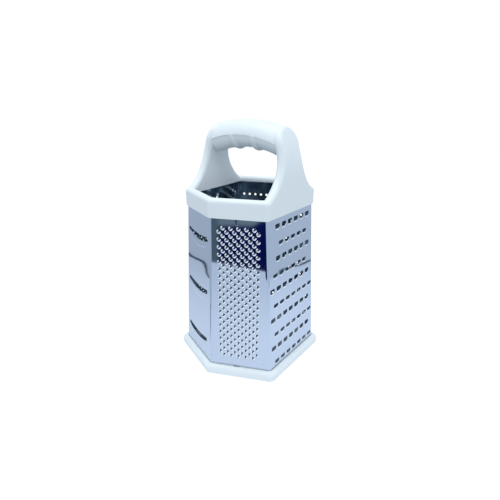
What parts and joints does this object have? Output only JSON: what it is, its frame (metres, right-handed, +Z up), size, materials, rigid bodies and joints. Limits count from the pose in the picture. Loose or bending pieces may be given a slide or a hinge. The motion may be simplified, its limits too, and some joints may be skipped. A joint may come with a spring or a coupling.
{
  "type": "box grater",
  "caption": "Free-standing hexagonal kitchen grater: a tapered perforated steel body between a plastic base ring and a plastic top ring with an arched carrying handle.",
  "frame": {"origin": "on the table, at the middle of the underside of the base ring", "axes": "+Z up, X along the handle's grip, Y across the grip; the coarse side faces +X and the fine side faces +X and -Y"},
  "size_m": [0.1178, 0.137, 0.232],
  "materials": {
    "steel": "polished stainless sheet, near mirror",
    "plastic": "glossy white moulded plastic"
  },
  "bodies": {
    "root": {"fine_grating_panel": "steel", "coarse_shredding_panel": "steel", "medium_shredding_panel": "steel", "round_shredding_panel": "steel", "zesting_panel": "steel", "slicing_panel": "steel", "base_ring": "plastic", "top_frame": "plastic", "grip_insert": "plastic"}
  },
  "joints": []
}
